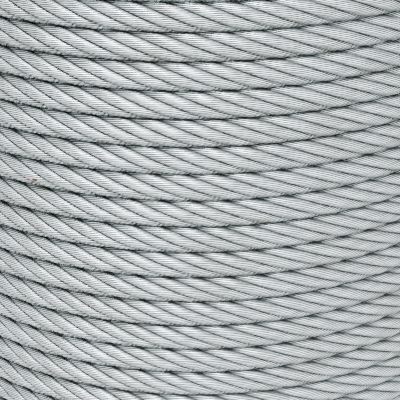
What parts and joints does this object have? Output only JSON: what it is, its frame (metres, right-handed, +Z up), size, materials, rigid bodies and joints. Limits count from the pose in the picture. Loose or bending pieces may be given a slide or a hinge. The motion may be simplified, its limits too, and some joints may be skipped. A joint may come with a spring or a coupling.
{
  "type": "coil of wire rope",
  "caption": "Free coil of galvanised steel wire rope, level wound in nested layers round an open bore and bound by flat steel straps.",
  "frame": {"origin": "middle of the floor that the coil stands on, on the coil's axis", "axes": "+Z up along the axis of the coil; -Y towards the side that shows no strap, +X to its right"},
  "size_m": [0.312, 0.312, 0.2422],
  "materials": {
    "galvanised_rope": "hot-dip galvanised drawn wires, dull silver grey, laid up in strands",
    "strap_steel": "plain cold-rolled steel strapping, slightly dark and smooth"
  },
  "bodies": {
    "root": {"rope_coil": "galvanised_rope", "strap_1": "strap_steel", "strap_2": "strap_steel", "strap_3": "strap_steel", "strap_4": "strap_steel", "strap_seal_1": "strap_steel", "strap_seal_2": "strap_steel", "strap_seal_3": "strap_steel", "strap_seal_4": "strap_steel"}
  },
  "joints": []
}
